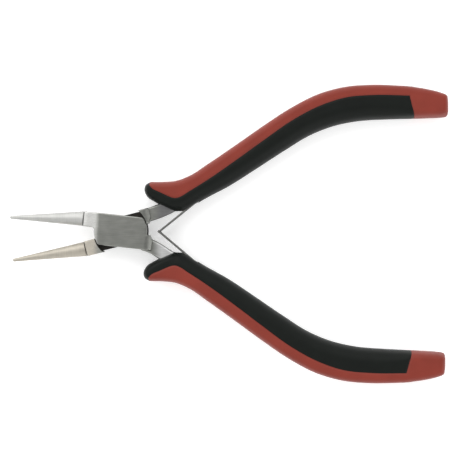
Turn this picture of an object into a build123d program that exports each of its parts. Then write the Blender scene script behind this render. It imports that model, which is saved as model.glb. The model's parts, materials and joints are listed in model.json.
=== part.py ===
from build123d import *

from math import asin, atan2, cos, degrees, hypot, radians, sin, tan
import os

# Round nose jewellery pliers with a box joint, two leaf springs and two-colour moulded grips.
#
# Millimetres. Two steel levers cross at a riveted box joint. The box lever carries the upper jaw and the
# lower handle, and its two cheeks enclose the neck of the tongue lever, which carries the lower jaw and
# the upper handle. A leaf spring is riveted to each tang inside its grip. The two leaves hook into each
# other behind the joint, tongue in fork, and push the handles apart.
#
# Every piece is drawn about the pivot, with the levers standing open at rest, and then moved so that the
# origin is at the middle of the whole tool's base: +X runs from the jaws to the handles, +Z is the pivot's
# direction. Each lever's head is drawn closed, jaw on the +Y side, and is turned to its rest angle. Each
# handle is drawn on the +Y side. Mirroring gives the other lever's head and the other handle.

# Swing of the levers, in degrees
CLOSE_TRAVEL = 20.5  # from rest until the jaw tips meet
OPEN_EXTRA = 5.0  # from rest until the neck meets the walls of the box
REST_HALF = CLOSE_TRAVEL / 2  # each head is turned this far open at rest
HEAD_TILT = 4.6  # the heads' centreline against the handles' centreline

# Jaws: turned cones
CONE_LENGTH = 22.2
CONE_BASE_R = 2.2
CONE_TIP_R = 0.45
CONE_TIP_ROUND = 0.3
CONE_BASE_GAP = 0.32  # between cone and centreline at the base, with the tips closed
CONE_ROOT = 0.6  # the cone runs this far into the jaw block
RELIEF_WIDTH = 0.3  # turned groove at the cone's foot
RELIEF_DEPTH = 0.25
TIP_CLEARANCE = 0.02

# Head: jaw blocks, cheeks, shoulders and heels
HEAD_REACH = 11.2  # from the pivot to the cones' base
HEAD_HALF_WIDTH = 4.7
CHEEK_R = 7.8
CHEEK_CORNER_R = 1.0
THROAT_R = 0.9  # between cheek and jaw
RIM_R = 0.35  # the rims of the head's faces are broken by this much
SHOULDER_GAP = 0.25  # between a cheek's end and the tongue lever's shoulder
PARTING_GAP = 0.25  # between a jaw block, or a heel, and the centreline
HEEL_LENGTH = 0.7  # how far a heel stands out behind the cheek
HEEL_SLOPE = 1.45
JOINT_THICKNESS = 8.0
JAW_THICKNESS = 5.0  # where the cones start
JAW_RAMP = 4.6
TANG_RAMP = 4.2

# Box joint
SLOT_HEIGHT = 3.2
NECK_HALF_WIDTH = 4.25
NECK_SIDE_CLEARANCE = 0.06
NECK_FACE_CLEARANCE = 0.04
NECK_END_CLEARANCE = 0.06
RIVET_R = 2.0
RIVET_HEAD_R = 2.8
RIVET_HEAD_DEPTH = 0.8
RIVET_RUNNING_CLEARANCE = 0.03

# Tangs at rest: they leave the head, run straight past the spring's foot, and then follow the grip
TANG_WIDTH = 4.0
TANG_THICKNESS = 5.0
UPPER_TANG_ROOT = [(4.7, 4.0), (8.1, 4.95)]
LOWER_TANG_ROOT = [(5.3, 3.3), (8.9, 4.4)]
TANG_EDGE_R = 0.5
TANG_MOUTH = (13.5, 7.1)
SEAT_START = (17.4, 9.35)
SEAT_ANGLE = 30.5
SEAT_LENGTH = 16.0
TANG_BENDS = [(38.6, 22.4), (48.4, 28.9), (56.6, 33.9), (64.0, 36.8), (72.0, 38.2)]
TANG_END = (84.0, 38.9)

# Leaf springs
LEAF_THICKNESS = 0.6
LEAF_WIDTH = 4.0
LEAF_FOOT_START = 6.3  # from the start of the tang's straight seat to the leaf's bend
LEAF_FOOT_LENGTH = 8.5
LEAF_SEAT_CLEARANCE = 0.08  # between the flexing arm and the tang
LEAF_BEND_CLEARANCE = 0.05
LEAF_APEX_X = 11.3  # where the two leaves cross, behind the pivot
LEAF_TIP = 0.55  # the leaves run on this far past their crossing
HOOK_WIDTH = 1.7
HOOK_CLEARANCE = 0.25
HOOK_DEPTH = 1.2  # from the crossing back to the hook's shoulders
LEAF_RIVET_R = 0.9
LEAF_RIVET_HEAD_R = 1.5
LEAF_RIVET_HEAD = 0.4

# Grips
GRIP_THICKNESS = 10.4
GRIP_EDGE_R = 2.3
GRIP_NOSE_R = 2.5
GRIP_BACK = [(12.5, 14.7), (16.2, 15.1), (20.0, 16.65), (26.0, 20.6), (34.0, 26.2), (42.0, 31.9),
             (50.0, 37.2), (58.0, 41.3), (66.0, 43.5), (74.0, 44.2), (82.0, 44.0), (90.0, 43.1)]
GRIP_BACK_FRONT = (6.7, 14.75)
GRIP_BUTT = [(96.1, 41.6), (96.5, 34.95)]
GRIP_BELLY = [(88.0, 34.45), (78.0, 34.05), (70.0, 33.45), (63.0, 32.0), (56.0, 29.25), (48.0, 24.35),
              (40.0, 19.05), (32.0, 13.85), (24.0, 9.45)]
GRIP_HEEL = (15.9, 5.0)
GRIP_HEEL_R = 2.4
GRIP_FRONT = (6.7, 10.5)
GRIP_BUTT_R = 2.6
INLAY_LINE = [(12.0, 11.75), (15.4, 10.35), (20.0, 12.2), (26.0, 15.85), (34.0, 21.4), (42.0, 27.3),
              (50.0, 33.0), (58.0, 37.35), (66.0, 40.0), (74.0, 40.75)]
INLAY_NOSE = (8.5, 13.3)
INLAY_CORNER = (84.4, 40.7)
INLAY_END = (86.0, 33.5)
SLEEVE_WALL = 0.75  # hard core of the shell, round the tang under the inlay
SLEEVE_EDGE_R = 1.0
SLEEVE_START = 9.6
POCKET_CLEARANCE = 0.12

SHOULDER_R = CHEEK_R + SHOULDER_GAP
OUTSIDE = 30.0  # past every edge of a head
SEAT_ALONG = Vector(cos(radians(SEAT_ANGLE)), sin(radians(SEAT_ANGLE)), 0)
SEAT_INWARD = Vector(sin(radians(SEAT_ANGLE)), -cos(radians(SEAT_ANGLE)), 0)


def slab(face, thickness):
    """A flat face drawn in XY, made as thick as asked about the mid-plane."""
    return extrude(face, amount=thickness / 2, both=True)


def turned(angle, shape):
    return Rot(0, 0, angle) * shape


def mirrored(shape):
    return mirror(shape, about=Plane.XZ)


def box_head_to_rest(shape):
    return turned(HEAD_TILT - REST_HALF, shape)


def tongue_head_to_rest(shape):
    return turned(HEAD_TILT + REST_HALF, mirrored(shape))


# ---------------------------------------------------------------- heads, drawn closed

def jaw_block():
    """The rectangular stock between cone and joint."""
    height = HEAD_HALF_WIDTH - PARTING_GAP
    block = Rectangle(HEAD_REACH - NECK_HALF_WIDTH, height, align=(Align.MIN, Align.MIN))
    return Pos(-HEAD_REACH, PARTING_GAP) * block


def heel_block():
    """The stock behind the joint, out of which the tang runs."""
    back = CHEEK_R + HEEL_LENGTH
    corners = [(CHEEK_R / 2, -PARTING_GAP), (back, -PARTING_GAP), (back + 1.0, -PARTING_GAP - HEEL_SLOPE),
               (back + 1.0, -HEAD_HALF_WIDTH), (CHEEK_R / 2, -HEAD_HALF_WIDTH)]
    return make_face(Polyline(*corners, close=True))


def stock():
    """What both levers have outside the joint: jaw block and heel."""
    return jaw_block() + heel_block()


def cheek():
    """The barrel-shaped plate round the pivot: two flat sides between two arcs about it."""
    plate = Circle(CHEEK_R) & Rectangle(2 * CHEEK_R, 2 * HEAD_HALF_WIDTH)
    return fillet(plate.vertices(), CHEEK_CORNER_R)


def slot():
    """The room that the neck sweeps inside the box. What it leaves of the sides are the stops."""
    half = NECK_HALF_WIDTH + NECK_SIDE_CLEARANCE
    swing = CLOSE_TRAVEL + OPEN_EXTRA
    apex = (-half * tan(radians(swing / 2)), half)
    far = (apex[0] + OUTSIDE * cos(radians(swing)), apex[1] + OUTSIDE * sin(radians(swing)))
    wall = make_face(Polyline(apex, far, (-OUTSIDE, OUTSIDE + half), (-OUTSIDE, half), close=True))
    return Circle(SHOULDER_R) - wall - turned(180, wall)


def neck():
    """The tongue lever's thin middle, which turns inside the slot."""
    inside = Circle(SHOULDER_R - NECK_END_CLEARANCE) + stock()
    band = Rectangle(2 * (SHOULDER_R + 1), 2 * NECK_HALF_WIDTH)
    return inside & band & Circle(SHOULDER_R + 1)


def box_planform():
    """Cheek, jaw block and heel, with a round throat where the cheek meets the jaw's inner side."""
    plan = cheek() + stock()
    throat = plan.vertices().sort_by_distance(Vector(-CHEEK_R, PARTING_GAP, 0))[0]
    return fillet(throat, THROAT_R)


def ramps():
    """Where the head's faces start to fall, towards the jaw and towards the tang."""
    return -HEAD_REACH + JAW_RAMP, CHEEK_R + HEEL_LENGTH - 1.2


def is_rim(edge):
    """Whether an edge bounds a head's face. Ramp lines, end faces and the round shoulders don't count."""
    middle, run = edge.center(), edge.tangent_at(0.5)
    ramp_line = abs(run.Y) > 0.99 and any(abs(middle.X - start) < 1e-3 for start in ramps())
    at_end = middle.X < -HEAD_REACH + 1e-3 or middle.X > CHEEK_R + HEEL_LENGTH + 0.9
    shoulder = all(abs(hypot(p.X, p.Y) - SHOULDER_R) < 0.02 for p in (edge @ 0.3, edge @ 0.8))
    upright = abs(run.Z) > 0.9 or abs(middle.Z) < JAW_THICKNESS / 4
    return not (ramp_line or at_end or shoulder or upright)


def ease(head):
    """Breaks the rims of a head's two faces."""
    return fillet([edge for edge in head.edges() if is_rim(edge)], RIM_R)


def head_profile():
    """The head seen from its edge: full thickness at the joint, ramped down to the jaw and the tang."""
    joint, jaw, tang = JOINT_THICKNESS / 2, JAW_THICKNESS / 2, TANG_THICKNESS / 2
    ramp_front, ramp_back = ramps()
    jaw_ramp = Spline((-HEAD_REACH, jaw), (ramp_front, joint), tangents=[(1, 0.12), (1, 0)])
    top = Line((ramp_front, joint), (ramp_back, joint))
    tang_ramp = Spline((ramp_back, joint), (ramp_back + TANG_RAMP, tang), tangents=[(1, 0), (1, 0)])
    rest = Polyline((ramp_back + TANG_RAMP, tang), (OUTSIDE * 4, tang), (OUTSIDE * 4, 0),
                    (-HEAD_REACH, 0), (-HEAD_REACH, jaw))
    upper = make_face(Wire([jaw_ramp, top, tang_ramp] + rest.edges()))
    half = extrude(Plane.XZ * upper, amount=OUTSIDE, both=True)
    return half + mirror(half, about=Plane.XY)


def cone():
    """A jaw: a turned cone whose tip meets its twin's on the centreline when the levers are closed."""
    base = Vector(-HEAD_REACH, CONE_BASE_GAP + CONE_BASE_R, 0)
    drop = base.Y - CONE_TIP_R - TIP_CLEARANCE
    lean = asin(drop / CONE_LENGTH)
    along = Vector(-cos(lean), -sin(lean), 0)
    taper = (CONE_BASE_R - CONE_TIP_R) / CONE_LENGTH
    start = base - along * CONE_ROOT
    body = Cone(CONE_BASE_R + taper * CONE_ROOT, CONE_TIP_R, CONE_LENGTH + CONE_ROOT,
                align=(Align.CENTER, Align.CENTER, Align.MIN))
    body = fillet(body.edges().sort_by(Axis.Z)[-1], CONE_TIP_ROUND)
    relief = Cylinder(CONE_BASE_R * 2, RELIEF_WIDTH) - Cylinder(CONE_BASE_R - RELIEF_DEPTH, RELIEF_WIDTH)
    body -= Pos(0, 0, CONE_ROOT + RELIEF_WIDTH) * relief
    root_limit = Pos(-HEAD_REACH - OUTSIDE / 2, 0, 0) * Box(OUTSIDE + 2 * CONE_ROOT, OUTSIDE, OUTSIDE)
    return (Plane(origin=start, z_dir=along) * body) & root_limit


def rivet():
    """The pivot: a plain shank with both ends spread into countersinks and ground flush."""
    shank = Cylinder(RIVET_R, JOINT_THICKNESS)
    head = Cone(RIVET_R, RIVET_HEAD_R, RIVET_HEAD_DEPTH, align=(Align.CENTER, Align.CENTER, Align.MAX))
    upper = Pos(0, 0, JOINT_THICKNESS / 2) * head
    return shank + upper + mirror(upper, about=Plane.XY)


# ---------------------------------------------------------------- tangs, drawn at rest

def tang_path(root):
    """The tang's centreline at rest, for a handle on the +Y side, from inside the head to its end."""
    seat_start = Vector(*SEAT_START)
    seat_end = seat_start + SEAT_ALONG * SEAT_LENGTH
    lead = (Vector(*root[1]) - Vector(*root[0])).normalized()
    first = Spline(*root, TANG_MOUTH, seat_start, tangents=[lead, SEAT_ALONG])
    seat = Line(seat_start, seat_end)
    last = Spline(seat_end, *TANG_BENDS, TANG_END, tangents=[SEAT_ALONG, (1, 0.04)])
    return Wire([first, seat, last])


def swept_bar(path, width, thickness, edge_radius):
    """A rectangular bar with rounded edges, along a flat path."""
    begin = Plane(origin=path @ 0, x_dir=(0, 0, 1), z_dir=path % 0)
    return sweep(begin * RectangleRounded(thickness, width, edge_radius), path=path)


def tang(path):
    return swept_bar(path, TANG_WIDTH, TANG_THICKNESS, TANG_EDGE_R)


def box_lever():
    """Upper jaw and lower handle: two cheeks with the slot between them."""
    head = ease(slab(box_planform(), JOINT_THICKNESS) & head_profile())
    head = head - slab(slot(), SLOT_HEIGHT) - rivet()
    stub = mirrored(tang(tang_path(LOWER_TANG_ROOT)) - Cylinder(SHOULDER_R, JOINT_THICKNESS))
    return box_head_to_rest(head + cone()) + stub - mirrored(leaf_rivet())


def tongue_lever():
    """Lower jaw and upper handle: shoulders round the box, and the thin neck between them."""
    blocks = ease(slab(stock() - Circle(SHOULDER_R), JOINT_THICKNESS) & head_profile())
    middle = slab(neck(), SLOT_HEIGHT - 2 * NECK_FACE_CLEARANCE)
    head = blocks + middle + cone() - Cylinder(RIVET_R + RIVET_RUNNING_CLEARANCE, JOINT_THICKNESS)
    stub = tang(tang_path(UPPER_TANG_ROOT)) - Cylinder(SHOULDER_R, JOINT_THICKNESS)
    return tongue_head_to_rest(head) + stub - leaf_rivet()


# ---------------------------------------------------------------- leaf springs, upper handle, at rest

def seat_point(along, inward):
    """A point by the tang's straight seat: so far along it, and so far inward of its centreline."""
    return Vector(*SEAT_START) + SEAT_ALONG * along + SEAT_INWARD * inward


def leaf_bend():
    """The line that the leaf flexes about, where it leaves the tang."""
    return seat_point(LEAF_FOOT_START, TANG_WIDTH / 2 + LEAF_SEAT_CLEARANCE + LEAF_THICKNESS / 2)


def leaf_angle():
    """The arm's slope, from the crossing up to the bend."""
    bend = leaf_bend()
    return degrees(atan2(bend.Y, bend.X - LEAF_APEX_X))


def leaf_length():
    bend = leaf_bend()
    return hypot(bend.Y, bend.X - LEAF_APEX_X)


def leaf_foot():
    """The leaf's foot, flat on the tang's inner edge, from just past the bend."""
    gap = LEAF_THICKNESS / 2 + LEAF_BEND_CLEARANCE
    centre = seat_point(LEAF_FOOT_START + gap + LEAF_FOOT_LENGTH / 2, (TANG_WIDTH + LEAF_THICKNESS) / 2)
    plate = Box(LEAF_FOOT_LENGTH, LEAF_THICKNESS, LEAF_WIDTH)
    return Pos(*centre) * turned(SEAT_ANGLE, plate) - leaf_rivet()


def leaf_rivet():
    """Holds the foot: its shank goes through the tang, with a low head on the leaf."""
    across = Plane(origin=seat_point(LEAF_FOOT_START + LEAF_FOOT_LENGTH * 0.6, -TANG_WIDTH / 2),
                   z_dir=SEAT_INWARD)
    reach = TANG_WIDTH + LEAF_THICKNESS
    base = (Align.CENTER, Align.CENTER, Align.MIN)
    shank = Cylinder(LEAF_RIVET_R, reach, align=base)
    head = Pos(0, 0, reach) * Cylinder(LEAF_RIVET_HEAD_R, LEAF_RIVET_HEAD, align=base)
    return across * (shank + head)


def leaf_arm(forked):
    """The flexing arm, from its round end at the bend to its tip: a fork, or a hook that fits in it."""
    length = leaf_length()
    arm = Pos(-(length + LEAF_TIP) / 2, 0, 0) * Box(length + LEAF_TIP, LEAF_THICKNESS, LEAF_WIDTH)
    arm += Cylinder(LEAF_THICKNESS / 2, LEAF_WIDTH)
    end_length = LEAF_TIP + HOOK_DEPTH
    end = Pos(-length - LEAF_TIP + end_length / 2, 0, 0)
    if forked:
        arm -= end * Box(end_length, LEAF_THICKNESS, HOOK_WIDTH + 2 * HOOK_CLEARANCE)
    else:
        full = Box(end_length, LEAF_THICKNESS, LEAF_WIDTH)
        arm -= end * (full - Box(end_length, LEAF_THICKNESS, HOOK_WIDTH))
    return Pos(*leaf_bend()) * turned(leaf_angle(), arm)


def leaf_room():
    """The mouth in a grip that the arm swings in, and the pocket round the foot and the rivet's head."""
    bend = leaf_bend()
    room = LEAF_THICKNESS / 2 + POCKET_CLEARANCE
    height = LEAF_WIDTH + 2 * POCKET_CLEARANCE
    tight = leaf_angle() - REST_HALF
    wide = leaf_angle() + OPEN_EXTRA / 2 + 1.0
    sweep_face = Circle(room)
    for angle in (tight, leaf_angle(), wide):
        sweep_face += turned(angle, Pos(-OUTSIDE / 2, 0) * Rectangle(OUTSIDE, 2 * room))
    corner = [(0, 0)] + [(-OUTSIDE * cos(radians(a)), -OUTSIDE * sin(radians(a))) for a in (tight, wide)]
    sweep_face += make_face(Polyline(*corner, close=True))
    mouth = Pos(*bend) * slab(sweep_face, height)
    pocket_length = LEAF_FOOT_LENGTH + LEAF_THICKNESS
    centre = seat_point(LEAF_FOOT_START + pocket_length / 2, (TANG_WIDTH + LEAF_THICKNESS) / 2)
    pocket = Pos(*centre) * turned(SEAT_ANGLE, Box(pocket_length, LEAF_THICKNESS, LEAF_WIDTH))
    return mouth + pocket + leaf_rivet()


# ---------------------------------------------------------------- grips, upper handle, at rest

def grip_body():
    """The whole grip's outer form, from its nose to its butt, as one solid with rounded edges."""
    back = Spline(GRIP_BACK_FRONT, *GRIP_BACK, GRIP_BUTT[0])
    belly = Spline(GRIP_BUTT[1], *GRIP_BELLY, GRIP_HEEL)
    nose = Polyline(GRIP_HEEL, GRIP_FRONT, GRIP_BACK_FRONT)
    outline = make_face(Wire([back, Line(*GRIP_BUTT), belly] + nose.edges()))
    corners = ((GRIP_FRONT, GRIP_NOSE_R), (GRIP_BACK_FRONT, GRIP_NOSE_R), (GRIP_HEEL, GRIP_HEEL_R),
               (GRIP_BUTT[0], GRIP_BUTT_R), (GRIP_BUTT[1], GRIP_BUTT_R))
    for corner, radius in corners:
        sharp = outline.vertices().sort_by_distance(Vector(*corner, 0))[0]
        outline = fillet(sharp, radius)
    body = slab(outline, GRIP_THICKNESS)
    return fillet(body.faces().filter_by(Axis.Z).edges(), GRIP_EDGE_R)


def inlay_region():
    """The part of the planform that the soft inlay takes: the whole belly side and the nose."""
    line = Spline(INLAY_NOSE, *INLAY_LINE, INLAY_CORNER)
    below = Polyline(INLAY_CORNER, INLAY_END, (INLAY_END[0], -OUTSIDE), (-OUTSIDE, -OUTSIDE),
                     (-OUTSIDE, GRIP_BACK_FRONT[1] + 1), (INLAY_NOSE[0] - 0.9, GRIP_BACK_FRONT[1] + 1),
                     INLAY_NOSE)
    return make_face(Wire([line] + below.edges()))


def grip(path):
    """The hard shell and the soft inlay of one grip, moulded round the tang on that path."""
    body = grip_body()
    region = slab(inlay_region(), GRIP_THICKNESS)
    sleeve = swept_bar(path, TANG_WIDTH + 2 * SLEEVE_WALL, TANG_THICKNESS + 2 * SLEEVE_WALL, SLEEVE_EDGE_R)
    front = seat_point(SLEEVE_START, 0)
    behind = Plane(origin=front, z_dir=SEAT_ALONG) * Box(
        4 * OUTSIDE, 4 * OUTSIDE, 4 * OUTSIDE, align=(Align.CENTER, Align.CENTER, Align.MIN))
    sleeve = sleeve & behind
    inside = tang(path) + leaf_room()
    soft = (body & region) - sleeve - inside
    hard = (body - region) + (sleeve & body & region) - inside
    return hard, soft


def built():
    """Every node about the pivot, at rest."""
    upper_shell, upper_inlay = grip(tang_path(UPPER_TANG_ROOT))
    lower_shell, lower_inlay = grip(tang_path(LOWER_TANG_ROOT))
    return {
        "box_lever": box_lever(),
        "tongue_lever": tongue_lever(),
        "pivot_rivet": box_head_to_rest(rivet()),
        "upper_spring_foot": leaf_foot(),
        "upper_spring_arm": leaf_arm(forked=False),
        "upper_spring_rivet": leaf_rivet(),
        "lower_spring_foot": mirrored(leaf_foot()),
        "lower_spring_arm": mirrored(leaf_arm(forked=True)),
        "lower_spring_rivet": mirrored(leaf_rivet()),
        "upper_grip_shell": upper_shell,
        "upper_grip_inlay": upper_inlay,
        "lower_grip_shell": mirrored(lower_shell),
        "lower_grip_inlay": mirrored(lower_inlay),
    }


def main():
    nodes = built()
    whole = Compound([solid for shape in nodes.values() for solid in shape.solids()]).bounding_box()
    base = Pos(-whole.center().X, -whole.center().Y, -whole.min.Z)
    os.makedirs("parts", exist_ok=True)
    for name, shape in nodes.items():
        solids = (base * shape).solids()
        export_step(solids[0] if len(solids) == 1 else Compound(solids), f"parts/{name}.step")
    print("pivot at", base.position)


if __name__ == "__main__":
    main()
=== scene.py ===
import json
import bmesh
import bpy
import numpy as np
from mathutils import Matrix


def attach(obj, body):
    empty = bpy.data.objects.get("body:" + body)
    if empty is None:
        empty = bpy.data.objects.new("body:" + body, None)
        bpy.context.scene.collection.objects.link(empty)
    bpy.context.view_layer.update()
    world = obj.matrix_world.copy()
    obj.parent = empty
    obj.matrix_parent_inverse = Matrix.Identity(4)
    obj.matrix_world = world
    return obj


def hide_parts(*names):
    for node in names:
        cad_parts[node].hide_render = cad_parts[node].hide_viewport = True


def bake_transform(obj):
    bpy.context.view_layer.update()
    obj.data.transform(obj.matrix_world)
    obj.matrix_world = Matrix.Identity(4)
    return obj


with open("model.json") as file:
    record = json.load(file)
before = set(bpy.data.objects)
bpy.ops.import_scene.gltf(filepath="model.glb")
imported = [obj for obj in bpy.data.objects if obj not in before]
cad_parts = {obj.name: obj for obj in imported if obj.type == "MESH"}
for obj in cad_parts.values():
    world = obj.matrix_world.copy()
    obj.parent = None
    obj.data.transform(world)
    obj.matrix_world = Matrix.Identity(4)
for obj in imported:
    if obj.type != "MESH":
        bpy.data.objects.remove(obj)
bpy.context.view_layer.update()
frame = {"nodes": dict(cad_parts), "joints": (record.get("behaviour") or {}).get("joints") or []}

# ---------------------------------------------------------------- the two steel levers
# Each lever is one forging of tool steel: a turned conical jaw, half of the box joint, and a tang. The
# faces are ground to a satin grain along the tool, the cones are turned, and the joint's inner faces
# keep the dark skin of the forging, painted near-black so that it also stands in for the shade in the
# recess. The jaw, the cheek and the tang are painted lighter or darker as painted reflection and painted
# shade, and the relief groove at each cone's foot is painted dark as shade.

MM = 0.001
pivot = np.array(frame["joints"][0]["pos_m"]) / MM  # in mm, as every place below
SHOULDER_RADIUS = 8.3  # the dark faces inside the joint lie within this distance of the pivot
SLOT_HALF_HEIGHT = 1.75  # and this far above and below its middle
CONE_START = 11.2  # the cones lie further than this from the pivot, along each lever's head
GROOVE_END = 11.62  # and a relief groove, painted dark as shade, ends here
BOX_HEADING = 174.35  # the way that each lever's head points, in degrees
TONGUE_HEADING = 194.85


class Link:
    """A shader socket that can be used in an expression: each operator adds one Math node."""

    def __init__(self, tree, socket=None):
        self.tree = tree
        self.socket = socket

    def node(self, kind, settings=None, sockets=None, output=0):
        """Adds a node of that kind, makes its settings, fills its sockets with values or links, and gives
        one of its outputs."""
        made = self.tree.nodes.new("ShaderNode" + kind)
        for name, value in (settings or {}).items():
            if name == "stops":
                for number, (position, grey) in enumerate(value):
                    elements = made.color_ramp.elements
                    element = elements[number] if number < 2 else elements.new(position)
                    element.position = position
                    element.color = (grey, grey, grey, 1)
            else:
                setattr(made, name, value)
        for name, value in (sockets or {}).items():
            if isinstance(value, Link):
                self.tree.links.new(value.socket, made.inputs[name])
            else:
                made.inputs[name].default_value = value
        return Link(self.tree, made.outputs[output])

    def _math(self, operation, first, second):
        return self.node("Math", {"operation": operation}, {0: first, 1: second})

    def __add__(self, other):
        return self._math("ADD", self, other)

    def __sub__(self, other):
        return self._math("SUBTRACT", self, other)

    def __rsub__(self, other):
        return self._math("SUBTRACT", other, self)

    def __mul__(self, other):
        return self._math("MULTIPLY", self, other)

    def __lt__(self, other):
        return self._math("LESS_THAN", self, other)

    def __abs__(self):
        return self._math("ABSOLUTE", self, 0)

    __radd__ = __add__
    __rmul__ = __mul__


def start_material(name, **constants):
    """A new material, its shader with these constants on its own sockets, and Object coordinates in mm."""
    material = bpy.data.materials.new(name)
    material.use_nodes = True
    tree = material.node_tree
    shader = next(n for n in tree.nodes if n.type == "BSDF_PRINCIPLED")
    for socket, value in constants.items():
        shader.inputs[socket.replace("_", " ")].default_value = value
    metres = Link(tree).node("TexCoord", output=3)
    place = metres.node("VectorMath", {"operation": "SCALE"}, {0: metres, 3: 1 / MM})
    return material, shader, place


def feed(shader, name, link):
    """Joins a link to the shader's socket of that name."""
    link.tree.links.new(link.socket, shader.inputs[name])


def noise(place, stretch, detail=3.0, roughness=0.55):
    """Noise with this many cells to a millimetre along X, Y and Z."""
    stretched = place.node("VectorMath", {"operation": "MULTIPLY"}, {0: place, 1: stretch})
    return place.node("TexNoise", {}, {"Vector": stretched, "Scale": 1.0, "Detail": detail,
                                       "Roughness": roughness})


def mix(amount, first, second):
    """A colour between two, where either may be a link."""
    return amount.node("Mix", {"data_type": "RGBA"}, {0: amount, 6: first, 7: second}, output=2)


def bump(shader, height, depth):
    """Relief of this depth, in mm, as the shader's normal."""
    normal = height.node("Bump", {}, {"Strength": 1.0, "Distance": depth * MM, "Height": height})
    feed(shader, "Normal", normal)


def rise(value, low, high):
    """A smooth step from 0 to 1 as the value goes from low to high."""
    return value.node("MapRange", {"interpolation_type": "SMOOTHSTEP"}, {0: value, 1: low, 2: high})


def shaded(colour, amount):
    """A colour times a number, both links."""
    grey = amount.node("CombineColor", {}, {0: amount, 1: amount, 2: amount})
    return amount.node("Mix", {"data_type": "RGBA", "blend_type": "MULTIPLY"},
                       {0: 1.0, 6: colour, 7: grey}, output=2)


def coordinate(place, axis):
    """One of X, Y and Z of a place."""
    return place.node("SeparateXYZ", {}, {0: place}, output="XYZ".index(axis))


# One steel, painted lighter or darker by part and by lever: painted reflection and painted shade
JAW_PAINTED_LIT = (0.46, 0.46, 0.445, 1)  # colours as red, green, blue and opacity
JAW_PAINTED_SHADE = (0.42, 0.39, 0.335, 1)
CHEEK_PAINTED_SHADE = (0.238, 0.242, 0.224, 1)
TANG_PAINTED_SHADE = (0.180, 0.180, 0.182, 1)
TANG_PAINTED_HIGHLIGHT = (0.60, 0.60, 0.595, 1)
# the forging's dark skin in the joint, painted near-black so that it also stands in for the recess's shade
FORGING_SKIN_AND_SHADE = (0.035, 0.033, 0.030, 1)
CHEEK_FRONT = (-8.3, -6.0)  # the jaw's painted colour gives way to the cheek's between these places
CHEEK_BACK = (9.2, 12.4)  # and the cheek's to the tang's
GRAIN_DEPTH = 0.006
# how much darker the relief groove is painted, as shade
GROOVE_SHADE_DARKNESS = 0.7


def ground_steel(name, jaw, tang, heading, skin=True):
    """Ground steel: grain along the tool on its faces, turning rings on the cones, painted shade in the
    relief groove, and a dark skin in the joint, painted near-black as shade too. The cheek has its own
    colour, painted darker as shade, which changes to the jaw's and the tang's on either side of it, each
    painted lighter or darker as painted reflection and painted shade on one steel."""
    material, shader, place = start_material(name, Metallic=1.0)
    x = coordinate(place, "X") - pivot[0]
    way = (np.cos(np.radians(heading)), np.sin(np.radians(heading)), 0)
    from_pivot = place.node("VectorMath", {"operation": "SUBTRACT"}, {0: place, 1: tuple(pivot)})
    out = from_pivot.node("VectorMath", {"operation": "DOT_PRODUCT"}, {0: from_pivot, 1: way}, output=1)
    turned = 1 - (out < CONE_START)
    # painted shade in the relief groove at the cone's foot
    groove_shade = turned * (out < GROOVE_END)
    grain = noise(place, (0.22, 4.5, 4.5), detail=5.0, roughness=0.65)
    rings = noise(place, (9.0, 0.25, 0.25), detail=4.0)
    cloud = noise(place, (0.35, 0.5, 0.5), detail=2.0)
    lines = grain * (1 - turned) + rings * turned
    along_jaw = rise(x, *CHEEK_FRONT)
    along_tang = rise(x, *CHEEK_BACK)
    colour = mix(along_tang, mix(along_jaw, jaw, CHEEK_PAINTED_SHADE), tang)
    shade = (cloud * 0.35 + lines * 0.55 + 0.55) * (1 - groove_shade * GROOVE_SHADE_DARKNESS)
    colour = shaded(colour, shade)
    roughness = 0.24 + lines * 0.16 + cloud * 0.06 + turned * 0.2
    if skin:
        # the joint's inner faces: the forging's dark skin, painted near-black so that it also stands in for
        # shade
        flat = place.node("VectorMath", {"operation": "MULTIPLY"}, {0: place, 1: (1, 1, 0)})
        axis_point = (pivot[0], pivot[1], 0)
        reach = place.node("VectorMath", {"operation": "DISTANCE"}, {0: flat, 1: axis_point}, output=1)
        depth = abs(coordinate(place, "Z") - pivot[2])
        inside = (reach < SHOULDER_RADIUS) * (depth < SLOT_HALF_HEIGHT)
        colour = mix(inside, colour, FORGING_SKIN_AND_SHADE)
        roughness = roughness + inside * 0.25
    feed(shader, "Base Color", colour)
    feed(shader, "Roughness", roughness)
    bump(shader, lines, GRAIN_DEPTH)
    return material


def dress(node, material):
    """Gives a CAD node this material and no other."""
    mesh = frame["nodes"][node].data
    mesh.materials.clear()
    mesh.materials.append(material)


# The two levers are one steel: their jaw and tang colours differ as painted reflection and painted shade
dress("box_lever", ground_steel("box_lever_steel", JAW_PAINTED_LIT, TANG_PAINTED_HIGHLIGHT, BOX_HEADING))
dress("tongue_lever", ground_steel("tongue_lever_steel", JAW_PAINTED_SHADE, TANG_PAINTED_SHADE, TONGUE_HEADING))

# ---------------------------------------------------------------- the rivets
# The pivot rivet's ends are hammered into countersinks in the cheeks and ground flush with them, so
# that it takes their grain. A small rivet holds each spring's foot to its tang, inside the grip.

# the rivets take the box lever's painted lighter and darker colours too
rivet_steel = ground_steel("rivet_steel", JAW_PAINTED_LIT, TANG_PAINTED_HIGHLIGHT, BOX_HEADING, skin=False)
for rivet in ("pivot_rivet", "upper_spring_rivet", "lower_spring_rivet"):
    dress(rivet, rivet_steel)

# ---------------------------------------------------------------- the leaf springs
# A strip of hardened spring steel, sheared to width and bent where it leaves the tang. The upper leaf's
# end is cut down to a tongue that rides in the lower leaf's forked end, behind the joint.

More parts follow.
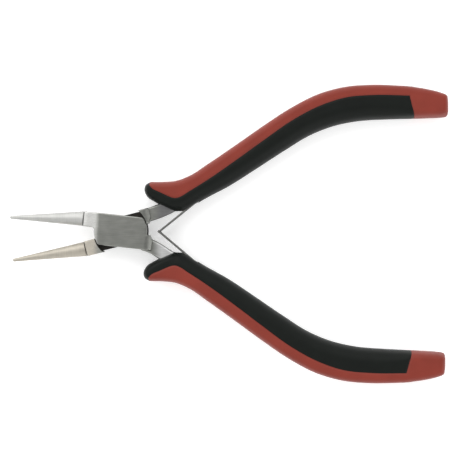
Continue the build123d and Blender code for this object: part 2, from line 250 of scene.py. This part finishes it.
LEAF_THICKNESS = 0.6
LEAF_HALF_WIDTH = 2.0
TONGUE_HALF_WIDTH = 0.85
FORK_HALF_GAP = 1.1
HOOK_LENGTH = 1.75  # tongue, or fork, from the leaf's end
LEAF_BEND_SPREAD = 2.2  # the bend is a curve that starts and ends this far from its middle
LEAF_EDGE_RADIUS = 0.07
FOOT_LENGTH = 8.5
FOOT_ANGLE = 30.5  # slopes of the upper leaf's foot and arm, in degrees
ARM_ANGLE = 39.5
ARM_REACH = 17.0  # from the bend to the leaf's end
STRIP_STATIONS = 84  # along the leaf as far as its hook
HOOK_STATIONS = 7
LEAF_LINE_DEPTH = 0.003
CREASE = 35.0  # edges sharper than this, in degrees, are shaded as edges
MERGE_METRES = 1e-6  # points closer than this are one point
SLIVER_METRES = 1e-7
HANDLES = ((1, "upper", "tongue_half"), (-1, "lower", "box_half"))  # side of the tool, name, body
leaf_bend = np.array(frame["joints"][1]["pos_m"]) / MM - pivot


def mirror_side(points, side):
    """The same points, for the handle on that side of the tool."""
    return points * np.array([1, side, 1])


def add_mesh(name, vertices, faces, crease=CREASE):
    """A mesh object from arrays, in mm from the pivot, with its doubles merged, its faces outward, and
    smooth over edges up to the crease angle."""
    mesh = bpy.data.meshes.new(name)
    mesh.from_pydata(((vertices + pivot) * MM).tolist(), [], faces.tolist())
    work = bmesh.new()
    work.from_mesh(mesh)
    bmesh.ops.remove_doubles(work, verts=work.verts, dist=MERGE_METRES)
    bmesh.ops.dissolve_degenerate(work, edges=work.edges, dist=SLIVER_METRES)
    bmesh.ops.recalc_face_normals(work, faces=work.faces)
    work.to_mesh(mesh)
    work.free()
    mesh.polygons.foreach_set("use_smooth", np.ones(len(mesh.polygons), bool))
    mesh.set_sharp_from_angle(angle=np.radians(crease))
    piece = bpy.data.objects.new(name, mesh)
    bpy.context.scene.collection.objects.link(piece)
    return piece


def quads(index):
    """The faces between the rows and columns of a grid of vertex numbers."""
    return np.stack([index[:-1, :-1], index[1:, :-1], index[1:, 1:], index[:-1, 1:]], -1).reshape(-1, 4)


def leaf_strip(forked):
    """Middle surface of the upper leaf: its heading turns from foot to arm by a smooth step across the
    bend, and its path adds up the headings. Across, it is a straight strip. Cells inside the fork, or
    beside the tongue, are left out."""
    hook_start = ARM_REACH - HOOK_LENGTH
    stations = np.union1d(np.linspace(-FOOT_LENGTH, hook_start, STRIP_STATIONS),
                          np.linspace(hook_start, ARM_REACH, HOOK_STATIONS))
    step = np.clip(stations / (2 * LEAF_BEND_SPREAD) + 0.5, 0, 1)
    heading = np.radians(FOOT_ANGLE + (ARM_ANGLE - FOOT_ANGLE) * step * step * (3 - 2 * step)) + np.pi
    run = np.diff(stations, prepend=stations[0])[:, None]
    path = np.cumsum(np.stack([np.cos(heading), np.sin(heading)], -1) * run, axis=0)
    path += leaf_bend[:2] - [np.interp(0, stations, path[:, axis]) for axis in (0, 1)]
    across = np.array([-LEAF_HALF_WIDTH, -FORK_HALF_GAP, -TONGUE_HALF_WIDTH, 0.0,
                       TONGUE_HALF_WIDTH, FORK_HALF_GAP, LEAF_HALF_WIDTH])
    points = np.zeros((len(stations), len(across), 3))
    points[..., :2] = path[:, None]
    points[..., 2] = across
    index = np.arange(points.shape[0] * points.shape[1]).reshape(points.shape[:2])
    along = (stations[:-1] + stations[1:])[:, None] / 2
    middle = abs(across[:-1] + across[1:])[None] / 2
    hook = along > hook_start
    cut = hook & ((middle < FORK_HALF_GAP) if forked else (middle > TONGUE_HALF_WIDTH))
    return points.reshape(-1, 3), quads(index)[~cut.ravel()]


def spring_steel():
    """Cold rolled strip, polished, with faint lines along it."""
    material, shader, place = start_material("spring_steel", Metallic=1.0)
    lines = noise(place, (0.8, 0.8, 14.0))
    feed(shader, "Base Color", mix(lines, (0.13, 0.13, 0.125, 1), (0.24, 0.24, 0.23, 1)))
    feed(shader, "Roughness", 0.2 + lines * 0.12)
    bump(shader, lines, LEAF_LINE_DEPTH)
    return material


leaf_material = spring_steel()
for side, word, handle in HANDLES:
    strip, cells = leaf_strip(forked=side < 0)
    leaf = add_mesh(word + "_leaf_spring", mirror_side(strip, side), cells)
    thicken = leaf.modifiers.new("thickness", "SOLIDIFY")
    thicken.thickness = LEAF_THICKNESS * MM
    thicken.offset = 0
    soften = leaf.modifiers.new("sheared edges", "BEVEL")
    soften.width = LEAF_EDGE_RADIUS * MM
    soften.segments = 2
    leaf.data.materials.append(leaf_material)
    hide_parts(word + "_spring_foot", word + "_spring_arm")
    bend_place = (mirror_side(leaf_bend, side) + pivot) * MM
    towards_tip = -np.array([np.cos(np.radians(ARM_ANGLE)), side * np.sin(np.radians(ARM_ANGLE)), 0]) * MM
    bend_place - towards_tip * LEAF_BEND_SPREAD
    bend_place + towards_tip * LEAF_BEND_SPREAD
    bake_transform(leaf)

# ---------------------------------------------------------------- the grips
# Each handle is moulded twice round its tang: a hard red shell first, which is the handle's back and
# its whole butt, and then a soft black inlay along the palm side, which also wraps the finger guard. A
# fine groove shows where the two meet, and the leaf spring comes out of a slot in the black.

GRIP_HALF_THICKNESS = 5.2
BACK_ROUNDING = 1.9  # the faces fall away to the handle's back and butt over this width
BELLY_ROUNDING = 4.6  # and to the palm side over this one
REAR_START = 76.0  # and from here the palm side's rounding fades to the back's, over this run
REAR_RUN = 14.0
GRIP_FULLNESS = 2.4  # 2 is elliptical, more is squarer
GRIP_CREASE = 65.0
GROOVE_DEPTH = 0.22
GROOVE_WIDTH = 0.27  # this far from the parting line the groove is about a third as deep
BOW_FADING = 10  # the higher, the sooner a patch's bowed end fades into straight lines
RED_SKIN_DEPTH = 0.012
BLACK_SKIN_DEPTH = 0.02
CURVE_STEPS = 60  # places worked out along a smooth line for each point that it goes through
CROWDED_STEPS = 1200  # and along a line whose points crowd towards its ends
PALM_POINTS = 200  # points of the lines that the thickness is worked out from, for each part of a line
BACK_POINTS = 160
SEAM_POINTS = (200, 30)
INLAY_SIZE = (200, 40)  # points of an inlay's plan, along the handle and across it
SHELL_RUNS = (170, 24, 40)  # points along a shell's plan: beside the inlay, at its end, and to the butt
SHELL_ACROSS = 36

# Outline and parting line of the upper grip, in mm from the pivot
BACK_FRONT = [(8.6, 14.72), (12.5, 14.75), (16.2, 15.15), (20.0, 16.65), (26.0, 20.6), (34.0, 26.2),
              (42.0, 31.9), (50.0, 37.2), (58.0, 41.3), (66.0, 43.5), (74.0, 44.15), (84.0, 43.9)]
BACK_REAR = [(84.0, 43.9), (90.0, 43.05), (93.5, 42.25), (95.2, 41.7)]
BACK_OVER_INLAY_END = [(84.0, 43.9), (86.0, 43.68), (87.5, 43.45)]  # the same line again, in two parts
BACK_TO_BUTT = [(87.5, 43.45), (90.0, 43.05), (93.5, 42.25), (95.2, 41.7)]
BUTT = [(95.2, 41.7), (95.95, 41.1), (96.2, 40.0), (96.31, 37.5), (96.28, 36.0), (96.05, 35.1),
        (95.4, 34.85)]
BELLY_REAR = [(86.2, 34.38), (91.0, 34.6), (93.5, 34.72), (95.4, 34.85)]
BELLY = [(16.9, 5.65), (18.1, 5.95), (20.0, 6.95), (24.0, 9.45), (32.0, 13.85), (40.0, 19.05),
         (48.0, 24.35), (56.0, 29.25), (63.0, 32.0), (70.0, 33.45), (78.0, 34.05), (86.2, 34.38)]
GUARD = [(16.9, 5.65), (15.8, 5.92), (13.5, 7.0), (9.9, 8.73), (7.6, 10.3), (6.75, 12.1), (7.05, 13.7),
         (8.6, 14.72)]
PARTING = [(8.6, 14.72), (8.35, 13.9), (8.9, 13.0), (11.8, 11.45), (13.9, 10.5), (15.3, 9.98), (16.3, 9.9),
           (17.5, 10.3), (20.0, 11.85), (26.0, 15.7), (34.0, 21.4), (42.0, 27.3), (50.0, 33.0),
           (58.0, 37.35), (66.0, 40.0), (74.0, 40.75), (84.4, 40.7)]
INLAY_END = [(84.4, 40.7), (85.2, 37.7), (86.2, 34.38)]


def smooth_line(points, count):
    """Points evenly spaced along a curve through the given ones: a cubic between neighbours that keeps the
    slope at each, which is the slope of the parabola through it and the two beside it."""
    given = np.array(points, float)
    knots = np.concatenate([[0], np.cumsum(np.linalg.norm(np.diff(given, axis=0), axis=1))])
    slopes = np.gradient(given, knots, axis=0)
    at = np.linspace(0, knots[-1], CURVE_STEPS * len(given))
    left = np.clip(np.searchsorted(knots, at, side="right") - 1, 0, len(knots) - 2)
    width = (knots[left + 1] - knots[left])[:, None]
    t = (at - knots[left])[:, None] / width
    curve = ((2 * t**3 - 3 * t**2 + 1) * given[left] + (t**3 - 2 * t**2 + t) * width * slopes[left]
             + (3 * t**2 - 2 * t**3) * given[left + 1] + (t**3 - t**2) * width * slopes[left + 1])
    length = np.concatenate([[0], np.cumsum(np.linalg.norm(np.diff(curve, axis=0), axis=1))])
    even = np.linspace(0, length[-1], count)
    return np.stack([np.interp(even, length, curve[:, axis]) for axis in (0, 1)], -1)


def distance_to(line, points):
    """The distance of each point from a polyline: to the nearest place on any of its runs."""
    run = np.diff(line, axis=0)
    start, run = line[:-1][run.any(1)], run[run.any(1)]
    offset = points[..., None, :] - start
    share = np.clip((offset * run).sum(-1) / (run * run).sum(-1), 0, 1)
    return np.linalg.norm(offset - share[..., None] * run, axis=-1).min(-1)


palm_side = np.vstack([smooth_line(part, PALM_POINTS) for part in (BELLY, BELLY_REAR)])
back_side = np.vstack([smooth_line(part, BACK_POINTS) for part in (GUARD, BACK_FRONT, BACK_REAR, BUTT)])
seam = np.vstack([smooth_line(part, count) for part, count in zip((PARTING, INLAY_END), SEAM_POINTS)])


def crowd(count):
    """Shares from 0 to 1 that crowd towards both ends as a cosine does."""
    return (1 - np.cos(np.linspace(0, np.pi, count))) / 2


def patch(low, high, first, last):
    """Plan points over a patch with four curved sides: straight lines from low to high, and added to
    them, how far each end bows out from its own straight line, fading away from that end as a power."""
    u, v = crowd(len(low))[:, None, None], crowd(len(first))[None, :, None]
    lines = (1 - v) * low[:, None] + v * high[:, None]
    bows = (1 - u) ** BOW_FADING * (first - lines[0])[None] + u**BOW_FADING * (last - lines[-1])[None]
    return lines + bows


def crowded_line(points, count):
    """A smooth line whose points crowd towards both ends, to match a patch."""
    line = smooth_line(points, CROWDED_STEPS)
    at = crowd(count) * (len(line) - 1)
    return np.stack([np.interp(at, np.arange(len(line)), line[:, axis]) for axis in (0, 1)], -1)


def moulded(plan):
    """A closed moulding over a plan: its half thickness rises from the outline as a squared-off ellipse
    in the distance from it, and dips along the parting line as a bell curve. Walls join both faces all
    round."""
    rear = np.clip((plan[..., 0] - REAR_START) / REAR_RUN, 0, 1)
    palm_width = BELLY_ROUNDING + (BACK_ROUNDING - BELLY_ROUNDING) * rear * rear * (3 - 2 * rear)
    height = np.full(plan.shape[:2], GRIP_HALF_THICKNESS)
    for edge, width in ((palm_side, palm_width), (back_side, BACK_ROUNDING)):
        near = np.clip(distance_to(edge, plan) / width, 0, 1)
        height *= (1 - (1 - near) ** GRIP_FULLNESS) ** (1 / GRIP_FULLNESS)
    height -= GROOVE_DEPTH * np.exp(-((distance_to(seam, plan) / GROOVE_WIDTH) ** 2))
    height = np.clip(height, 0, None)
    top = np.dstack([plan, height]).reshape(-1, 3)
    bottom = np.dstack([plan, -height]).reshape(-1, 3)
    upper = np.arange(len(top)).reshape(plan.shape[:2])
    lower = upper + len(top)
    rim = [np.concatenate([grid[:, 0], grid[-1, 1:], grid[-2::-1, -1], grid[0, -2::-1]])
           for grid in (upper, lower)]
    walls = np.stack([rim[0][:-1], rim[0][1:], rim[1][1:], rim[1][:-1]], -1)
    return np.vstack([top, bottom]), np.vstack([quads(upper), quads(lower)[:, ::-1], walls])


def inlay_plan():
    """The inlay's patch lies between the palm side and the parting line, from the guard to its end."""
    along, across = INLAY_SIZE
    return patch(crowded_line(BELLY, along), crowded_line(PARTING, along), crowded_line(GUARD, across),
                 crowded_line(INLAY_END[::-1], across))


def shell_plan():
    """The shell's patch is ruled from its inner side, which turns round the inlay's end, to its back. Over
    the run to the butt, the butt's bow is added to it, growing as the square of the way along."""
    inner, outer = (np.vstack([smooth_line(part, count)[number > 0:]
                               for number, (part, count) in enumerate(zip(parts, SHELL_RUNS))])
                    for parts in ((PARTING, INLAY_END, BELLY_REAR),
                                  (BACK_FRONT, BACK_OVER_INLAY_END, BACK_TO_BUTT)))
    across = crowd(SHELL_ACROSS)[None, :, None]
    ruled = inner[:, None] * (1 - across) + outer[:, None] * across
    bow = crowded_line(BUTT[::-1], SHELL_ACROSS) - ruled[-1]
    way = np.concatenate([np.zeros(len(inner) - SHELL_RUNS[-1]), np.linspace(0, 1, SHELL_RUNS[-1])])
    return ruled + bow[None] * way[:, None, None] ** 2


def soft_red():
    """Hard vinyl, moulded satin, with a faint cloudiness and a fine pebbled skin."""
    material, shader, place = start_material("grip_red", Specular_IOR_Level=0.25)
    cloud = noise(place, (0.12, 0.12, 0.12), detail=2.0)
    skin = noise(place, (7.0, 7.0, 7.0), detail=2.0)
    feed(shader, "Base Color", mix(cloud, (0.150, 0.0200, 0.0115, 1), (0.235, 0.0330, 0.0200, 1)))
    feed(shader, "Roughness", 0.46 + skin * 0.12)
    bump(shader, skin, RED_SKIN_DEPTH)
    return material


def soft_black():
    """Soft rubber with a matte bloom and a slightly coarser skin than the shell's."""
    material, shader, place = start_material("grip_black", Specular_IOR_Level=0.15)
    cloud = noise(place, (0.2, 0.2, 0.2), detail=2.0)
    skin = noise(place, (5.0, 5.0, 5.0), detail=3.0)
    feed(shader, "Base Color", mix(cloud, (0.0022, 0.0032, 0.0025, 1), (0.0045, 0.0065, 0.005, 1)))
    feed(shader, "Roughness", 0.42 + skin * 0.2)
    bump(shader, skin, BLACK_SKIN_DEPTH)
    return material


SLOT_HALF_WIDTH = 2.2
SLOT_ROOM = 0.45  # on either side of the leaf, at its bend
SLOT_NARROW = 31.0  # the slot's two sides, as slopes, a little past the leaf's travel
SLOT_WIDE = 42.5
SLOT_RUN = 14.0


def slot_cutter(side):
    """A wedge from the leaf's bend out through the front of the guard, as tall as the leaf and its play."""
    slopes = np.radians([SLOT_WIDE, SLOT_NARROW])
    headings = -np.stack([np.cos(slopes), np.sin(slopes)], -1)
    beside = np.stack([np.sin(slopes), -np.cos(slopes)], -1) * np.array([[1], [-1]]) * SLOT_ROOM
    near = leaf_bend[:2] + beside
    plan = np.array([near[0], near[0] + headings[0] * SLOT_RUN, near[1] + headings[1] * SLOT_RUN, near[1]])
    corners = np.vstack([np.c_[plan, np.full(4, height)] for height in (-SLOT_HALF_WIDTH, SLOT_HALF_WIDTH)])
    ring = np.arange(4)
    walls = np.stack([ring, np.roll(ring, -1), np.roll(ring, -1) + 4, ring + 4], -1)
    faces = np.vstack([ring[::-1], ring + 4, walls])
    return add_mesh("slot_cutter", mirror_side(corners, side), faces)


def cut_slot(piece, side):
    """Takes the leaf's slot out of a moulding, and keeps the result as its mesh."""
    cutter = slot_cutter(side)
    taking = piece.modifiers.new("slot", "BOOLEAN")
    taking.object = cutter
    taking.operation = "DIFFERENCE"
    taking.solver = "EXACT"
    cut = bpy.data.meshes.new_from_object(piece.evaluated_get(bpy.context.evaluated_depsgraph_get()))
    piece.modifiers.clear()
    piece.data = cut
    bpy.data.objects.remove(cutter)
    cut.set_sharp_from_angle(angle=np.radians(GRIP_CREASE))


red, black = soft_red(), soft_black()
for side, word, handle in HANDLES:
    for part, plan, material, finish in (("shell", shell_plan(), red, "grip_red"),
                                         ("inlay", inlay_plan(), black, "grip_black")):
        vertices, faces = moulded(plan)
        piece = add_mesh(word + "_grip_" + part + "_moulding", mirror_side(vertices, side), faces,
                         GRIP_CREASE)
        piece.data.materials.append(material)
        if part == "inlay":
            cut_slot(piece, side)
        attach(piece, handle)
        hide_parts(word + "_grip_" + part)

# ---------------------------------------------------------------- floor, light and camera
# The pliers lie on a seamless white sheet under a large soft ceiling of light, dim straight overhead,
# where the camera stands, and bright towards the sides. The camera looks straight down.

FLOOR_RADIUS = 1.6  # in metres, as the lamps' distances
FLOOR_HOLE = 0.02  # the innermost ring, as a share of the radius, is closed by one face
FLOOR_RINGS = 12
FLOOR_TURNS = 96
VIEW_CENTRE = (33.7, -0.75)  # from the pivot, in mm
VIEW_WIDTH = 139.5
VIEW_ROLL = 0.65  # in degrees
LENS = 100.0
SENSOR = 36.0
PAPER_GLOW = 0.42  # the sheet is lit from below too, as on a light table
SKY_STRENGTH = 1.15
# The ceiling's brightness by the cosine of the angle from the dim patch's middle, the two ends first
SKY_SHADE = [(0.0, 1.0), (1.0, 0.34), (0.78, 1.0), (0.87, 0.72), (0.94, 0.38)]
SHADE_LEAN = np.radians(17)  # the dim patch of the ceiling leans this far from overhead, to the handles


def floor_sheet():
    """A flat disc, as rings of points about the tool: distance from the middle, times the cosine and the
    sine of the turn."""
    rings = np.linspace(FLOOR_HOLE, 1, FLOOR_RINGS) * FLOOR_RADIUS
    turns = np.linspace(0, 2 * np.pi, FLOOR_TURNS + 1)[:-1]
    points = np.zeros((len(rings), len(turns), 3))
    points[..., 0] = rings[:, None] * np.cos(turns)
    points[..., 1] = rings[:, None] * np.sin(turns)
    index = np.arange(points.shape[0] * points.shape[1]).reshape(points.shape[:2])
    faces = quads(np.hstack([index, index[:, :1]]))
    mesh = bpy.data.meshes.new("floor")
    mesh.from_pydata(points.reshape(-1, 3).tolist(), [], faces.tolist() + [index[0].tolist()])
    mesh.update()
    return bpy.data.objects.new("floor", mesh)


floor = floor_sheet()
bpy.context.scene.collection.objects.link(floor)
paper = start_material("paper", Roughness=0.9, Specular_IOR_Level=0.1, Base_Color=(0.80, 0.80, 0.80, 1),
                       Emission_Color=(1, 1, 1, 1), Emission_Strength=PAPER_GLOW)[0]
floor.data.materials.append(paper)

world = bpy.data.worlds.new("studio")
bpy.context.scene.world = world
world.use_nodes = True
sky = Link(world.node_tree)
shade_way = np.array([np.sin(SHADE_LEAN), 0.0, np.cos(SHADE_LEAN)])
towards = sky.node("VectorMath", {"operation": "DOT_PRODUCT"},
                   {0: sky.node("TexCoord", output=0), 1: shade_way / np.linalg.norm(shade_way)}, output=1)
glow = towards.node("ValToRGB", {"stops": SKY_SHADE}, {0: towards})
background = next(n for n in world.node_tree.nodes if n.type == "BACKGROUND")
world.node_tree.links.new(glow.socket, background.inputs["Color"])
background.inputs["Strength"].default_value = SKY_STRENGTH


def softbox(name, azimuth, elevation, distance, size, power):
    """A square area light in that direction from the tool, facing it."""
    data = bpy.data.lights.new(name, "AREA")
    data.size = size
    data.energy = power
    lamp = bpy.data.objects.new(name, data)
    turn, lift = np.radians([azimuth, elevation])
    way = np.array([np.cos(lift) * np.cos(turn), np.cos(lift) * np.sin(turn), np.sin(lift)])
    lamp.location = way * distance
    lamp.rotation_mode = "QUATERNION"
    lamp.rotation_quaternion = lamp.location.to_track_quat("Z", "Y")
    bpy.context.scene.collection.objects.link(lamp)


softbox("key", azimuth=118, elevation=42, distance=1.2, size=1.5, power=9)
softbox("fill", azimuth=-35, elevation=30, distance=1.0, size=0.45, power=2)

camera = bpy.data.objects.new("camera", bpy.data.cameras.new("camera"))
camera.data.lens = LENS
camera.data.sensor_width = SENSOR
camera.data.clip_start = 0.01
camera.location = ((pivot[0] + VIEW_CENTRE[0]) * MM, (pivot[1] + VIEW_CENTRE[1]) * MM,
                   (pivot[2] + VIEW_WIDTH * LENS / SENSOR) * MM)
camera.rotation_euler = (0, 0, np.radians(VIEW_ROLL))
bpy.context.scene.collection.objects.link(camera)
bpy.context.scene.camera = camera
bpy.context.scene.view_settings.view_transform = "Standard"
